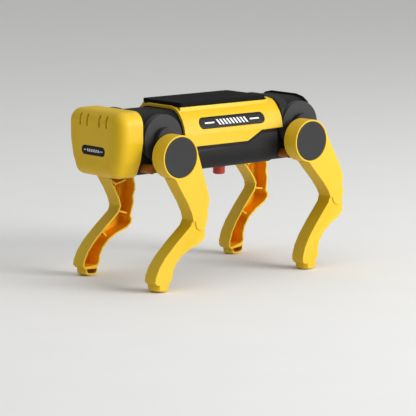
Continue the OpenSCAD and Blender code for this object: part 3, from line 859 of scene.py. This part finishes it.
@dataclass
class Limb:
    """One leg with its pressed-in cap."""

    finishes: Finishes
    end: str
    side: str
    edge_r: float = 0.22
    rim_depth: float = 0.35
    foot_h: float = 3.2
    probe: float = 0.05
    cap_edge: float = 0.35

    def cap(self) -> BMesh:
        """Spin the cap, with a fine bevel round its face."""
        low, high = in_mm(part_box(f"{self.end}_{self.side}_cap"))
        r = (high.z - low.z) / 2
        thick = high.y - low.y
        e = self.cap_edge
        out = 1.0 if self.side == "left" else -1.0
        inner = low.y if out > 0 else high.y
        profile = [(0, 0), (r, 0), (r, thick - e), (r - 0.3 * e, thick - 0.3 * e),
                   (r - e, thick), (r - e - 0.25, thick - 0.05), (0, thick - 0.05)]
        return turned(profile, mm((low.x + high.x) / 2, inner, (low.z + high.z) / 2),
                      Vector((0, out, 0)), 96)

    def leg(self, node: str) -> BMesh:
        """Round the leg's edges and mark the faces of its hollow with index one, for the painted
        bounce light and shade.

        Args:
            node: The leg's CAD node.

        Returns:
            The leg, with index one on each face that has the outer skin behind its space: these
            faces take the painted bounce light and shade.
        """
        low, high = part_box(node)
        shape = soften(copied(node), self.edge_r, 2,
                       where=lambda p: p.z > low.z / MM + self.foot_h)
        out = Vector((0.0, 1.0 if self.side == "left" else -1.0, 0.0))
        rim = min(abs(low.y), abs(high.y)) + self.rim_depth * MM
        tree = BVHTree.FromBMesh(shape)
        for face in shape.faces:
            slant = face.normal.dot(out)
            hidden = 0
            for corner in face.loops:
                a, b = corner.vert.co, corner.link_loop_next.vert.co
                inward = face.normal.cross(b - a).normalized()
                spot = (a + b) / 2 + (inward + face.normal) * self.probe * MM
                depth = tree.ray_cast(spot, out)[3]
                walled = abs(slant) < 0.9 and depth is not None and depth > 6 * self.probe * MM
                hidden += abs(spot.y) > rim and (slant < -0.9 or walled)
            face.material_index = int(2 * hidden >= len(face.loops))
        return shape

    def build(self) -> None:
        """Build and dress the leg and its cap."""
        looks = self.finishes
        body = f"{self.end}_{self.side}_limb"
        leg = f"{self.end}_{self.side}_leg"
        # the hollow's faces get the deeper orange of painted bounce light and shade
        place_piece(leg + "_moulding", self.leg(leg), looks.yellow,
                    Fitting(body, (leg,), "yellow_abs"), smooth_deg=40.0,
                    second=looks.hollow)
        cap = f"{self.end}_{self.side}_cap"
        place_piece(cap + "_disc", self.cap(), looks.grey,
                    Fitting(body, (cap,), "dark_grey_abs"))


@dataclass
class Crankset:
    """One axle's pair of cranks, with the screws in their pins."""

    finishes: Finishes
    end: str

    def build(self) -> None:
        """Build and dress the cranks and what turns with them."""
        looks = self.finishes
        body = f"{self.end}_crankset"
        place_piece(f"{self.end}_crank_mouldings", soften(copied(f"{self.end}_cranks"), 0.3, 3),
                    looks.grey, Fitting(body, (f"{self.end}_cranks",), "dark_grey_abs"))
        dress(f"{self.end}_crank_screws", looks.nickel)
        dress(f"{self.end}_axle", looks.rod)
        dress(f"{self.end}_axle_gear", looks.acetal)


@dataclass
class Fastener:
    """A screw with a pan head and a cross recess, modelled head up at the origin."""

    head_r: float
    head_h: float
    shaft_r: float
    shaft_l: float
    recess_w: float = 0.5
    pitch: float = 0.5
    crest: float = 0.1
    root: float = 0.3
    root_share: float = 0.72

    def shape(self) -> BMesh:
        """Spin the screw and cut its recess."""
        r, h = self.head_r, self.head_h
        profile = [(0, h), (r * 0.55, h), (r * 0.85, h * 0.85), (r, h * 0.5), (r, 0),
                   (self.shaft_r, 0)]
        for k in range(int(self.shaft_l / self.pitch)):
            profile += [(self.shaft_r, -k * self.pitch - self.crest),
                        (self.shaft_r * self.root_share, -k * self.pitch - self.root)]
        profile += [(0, -self.shaft_l)]
        body = turned(profile, Vector(), Vector((0, 0, 1)), 32)
        for a, b in ((r * 0.6, self.recess_w / 2), (self.recess_w / 2, r * 0.6)):
            body = cut(body, block(mm(-a, -b, h * 0.35), mm(a, b, h + 1)))
        return body

    def at(self, place: Vector, way: Vector) -> BMesh:
        """Return the screw with its head's seat at a place, its head pointing a way."""
        body = self.shape()
        turn = Vector((0, 0, 1)).rotation_difference(way).to_matrix().to_4x4()
        bmesh.ops.transform(body, matrix=Matrix.Translation(place) @ turn, verts=body.verts)
        return body


@dataclass
class Works:
    """The drive, the batteries, the switch and the screws."""

    finishes: Finishes
    idlers: int = 5
    wire_r: float = 0.25
    coils: float = 4.0
    coil_r: float = 3.2
    narrow: float = 0.72
    widening: float = 0.36
    button_r: float = 2.65

    def contact_spring(self, x: float, y: float, z: float, out: float, long: float) -> BMesh:
        """Wind one conical contact spring.

        Args:
            x, y, z: Where the spring's narrow end meets the cell, in millimetres.
            out: Which way along X it widens, as 1 or -1.
            long: Its length in millimetres.

        Returns:
            The closed coil.
        """
        steps = int(self.coils * 24)
        shape = bmesh.new()
        start = mm(x + out * self.wire_r, y, z)
        rim = start + mm(0, 0, self.coil_r)
        bmesh.ops.create_circle(shape, cap_ends=True, segments=8, radius=self.wire_r * MM,
                                matrix=Matrix.Translation(rim)
                                @ Matrix.Rotation(math.pi / 2, 4, "Z")
                                @ Matrix.Rotation(math.pi / 2, 4, "X"))
        rise = (long - 2 * self.wire_r) * out * MM
        bmesh.ops.rotate(shape, verts=shape.verts, cent=rim,
                         matrix=Matrix.Rotation(math.pi / 2, 3, "Z"))
        bmesh.ops.spin(shape, geom=shape.verts[:] + shape.edges[:] + shape.faces[:],
                       cent=start, axis=Vector((1, 0, 0)), dvec=Vector((rise / steps, 0, 0)),
                       angle=2 * math.pi * self.coils, steps=steps, use_merge=False)
        for vert in shape.verts:
            along = (vert.co.x - start.x) / rise
            scale = self.narrow + self.widening * min(max(along, 0.0), 1.0)
            vert.co.y = start.y + (vert.co.y - start.y) * scale
            vert.co.z = start.z + (vert.co.z - start.z) * scale
        bmesh.ops.recalc_face_normals(shape, faces=shape.faces)
        return shape

    def screw_group(self, node: str, fastener: Fastener, seats: Sequence[Vector],
                    way: Vector) -> None:
        """Build one group of equal screws in place of its CAD node."""
        shapes = [fastener.at(seat, way) for seat in seats]
        place_piece(node + "_threaded", join(shapes), self.finishes.nickel,
                    Fitting("chassis", (node,), "steel"))

    def belly_screws(self) -> None:
        """Build the four screws in the belly, heads down."""
        low, high = in_mm(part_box("belly_screws"))
        screw = Fastener(head_r=1.9, head_h=1.2, shaft_r=0.8, shaft_l=8.8)
        seats = [mm(x, y, low.z + screw.head_h)
                 for x in (low.x + screw.head_r, high.x - screw.head_r)
                 for y in (low.y + screw.head_r, high.y - screw.head_r)]
        self.screw_group("belly_screws", screw, seats, Vector((0, 0, -1)))

    def button(self) -> BMesh:
        """Spin the power button, slightly domed below, with its inner flange."""
        low, high = in_mm(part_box("power_button"))
        tall = high.z - low.z
        r = self.button_r
        flange = (high.x - low.x) / 2
        profile = [(0, 0), (r * 0.5, 0.06), (r * 0.8, 0.22), (r * 0.95, 0.5), (r, 0.9),
                   (r, tall - 1), (flange, tall - 1), (flange, tall), (0, tall)]
        return turned(profile, mm((low.x + high.x) / 2, 0, low.z), Vector((0, 0, 1)), 64)

    def build(self) -> None:
        """Build and dress everything inside the body, and the button below it."""
        looks = self.finishes
        place_piece("power_button_moulding", self.button(), looks.red,
                    Fitting("button", ("power_button",), "red_abs"))
        self.belly_screws()
        low, high = in_mm(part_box("contact_springs"))
        cells_low, cells_high = in_mm(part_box("battery_cells"))
        r = (high.z - low.z) / 2
        z = (high.z + low.z) / 2
        coils = [self.contact_spring(cells_low.x, low.y + r, z, -1, cells_low.x - low.x),
                 self.contact_spring(cells_high.x, high.y - r, z, 1, high.x - cells_high.x)]
        place_piece("contact_coils", join(coils), looks.spring,
                    Fitting("chassis", ("contact_springs",), "steel"))
        for i in range(self.idlers):
            dress(f"idler_gear_{i + 1}", looks.acetal)
        for node, finish in (("gear_plate", looks.acetal), ("switch_body", looks.acetal),
                             ("idler_pins", looks.rod), ("motor_can", looks.nickel),
                             ("gearbox_case", looks.brass), ("motor_pinion", looks.brass),
                             ("axle_bushes", looks.brass), ("battery_tray", looks.tray),
                             ("battery_cells", looks.cell), ("contact_plates", looks.nickel),
                             ("button_spring", looks.spring), ("head_screws", looks.nickel)):
            dress(node, finish)


# ---- the studio ------------------------------------------------------------------------


@dataclass
class Studio:
    """A pale floor, soft light and the camera."""

    azimuth_deg: float = 140.0
    elevation_deg: float = 9.12
    distance: float = 1043.5
    aim: tuple[float, float, float] = (-4.37, 0.0, 27.47)
    lens: float = 206.7
    floor_size: float = 6.0
    wall_light: float = 0.16
    ceiling_light: float = 0.62
    key_place: Corner = (-0.5, 0.85, 0.36)
    key_size: float = 0.6
    key_power: float = 10.0
    top_place: Corner = (-0.1, 0.1, 1.0)
    top_size: float = 0.8
    top_power: float = 1.5

    def floor(self) -> None:
        """Lay the floor."""
        shape = bmesh.new()
        bmesh.ops.create_grid(shape, x_segments=2, y_segments=2, size=self.floor_size)
        mesh = bpy.data.meshes.new("floor")
        shape.to_mesh(mesh)
        shape.free()
        # matt white paper, with the faintest mottling
        material, tree, shader = blank("matt_paper")
        place = add_node(tree, "TexCoord").outputs["Object"]
        fibre = noise(tree, place, 30.0, 3.0)
        tint = add_node(tree, "Mix", {"data_type": "RGBA", 6: linear("F4F4F3"),
                                      7: linear("F0F0EF")}, {0: fibre}).outputs[2]
        tree.links.new(tint, shader.inputs["Base Color"])
        shader.inputs["Roughness"].default_value = 0.9
        mesh.materials.append(material)
        floor = bpy.data.objects.new("floor", mesh)
        bpy.context.scene.collection.objects.link(floor)

    def lamp(self, name: str, spot: Corner, size: float, power: float) -> None:
        """Hang one square soft lamp that looks at the toy."""
        data = bpy.data.lights.new(name, "AREA")
        data.shape = "SQUARE"
        data.size = size
        data.energy = power
        place = Vector(spot)
        lamp = bpy.data.objects.new(name, data)
        lamp.location = place
        aim = mm(*self.aim) - place
        lamp.rotation_euler = aim.to_track_quat("-Z", "Y").to_euler()
        bpy.context.scene.collection.objects.link(lamp)

    def camera(self) -> None:
        """Set up the camera."""
        a, e = math.radians(self.azimuth_deg), math.radians(self.elevation_deg)
        back = Vector((math.sin(a) * math.cos(e), -math.cos(a) * math.cos(e), math.sin(e)))
        data = bpy.data.cameras.new("camera")
        data.lens = self.lens
        data.sensor_width = 36.0
        data.clip_start, data.clip_end = 0.01, 20.0
        camera = bpy.data.objects.new("camera", data)
        camera.location = mm(*self.aim) + back * self.distance * MM
        camera.rotation_euler = (-back).to_track_quat("-Z", "Y").to_euler()
        bpy.context.scene.collection.objects.link(camera)
        bpy.context.scene.camera = camera

    def build(self) -> None:
        """Build the whole studio."""
        scene = bpy.context.scene
        scene.view_settings.view_transform = "Standard"
        world = bpy.data.worlds.new("room")
        world.use_nodes = True
        # a white room: a bright ceiling over dimmer walls
        tree = world.node_tree
        way = add_node(tree, "TexCoord").outputs["Generated"]
        up = add_node(tree, "SeparateXYZ", None, {0: way}).outputs["Z"]
        level = add_node(tree, "MapRange", {"From Min": 0.15, "From Max": 0.85,
                                            "To Min": self.wall_light,
                                            "To Max": self.ceiling_light},
                         {"Value": up}).outputs["Result"]
        tree.links.new(level, tree.nodes["Background"].inputs["Strength"])
        tree.nodes["Background"].inputs["Color"].default_value = linear("FFFFFF")
        scene.world = world
        self.floor()
        self.lamp("key", self.key_place, self.key_size, self.key_power)
        self.lamp("top", self.top_place, self.top_size, self.top_power)
        self.camera()


def main() -> None:
    """Build every sub-assembly and the studio round them."""
    logging.basicConfig(level=logging.INFO, format="%(message)s")
    finishes = Finishes()
    Head(finishes).build()
    BackCover(finishes).build()
    Hull(finishes).build()
    for end in ("front", "rear"):
        Crankset(finishes, end).build()
        for side in ("left", "right"):
            Limb(finishes, end, side).build()
    Works(finishes).build()
    Studio().build()


if __name__ == "__main__":
    main()
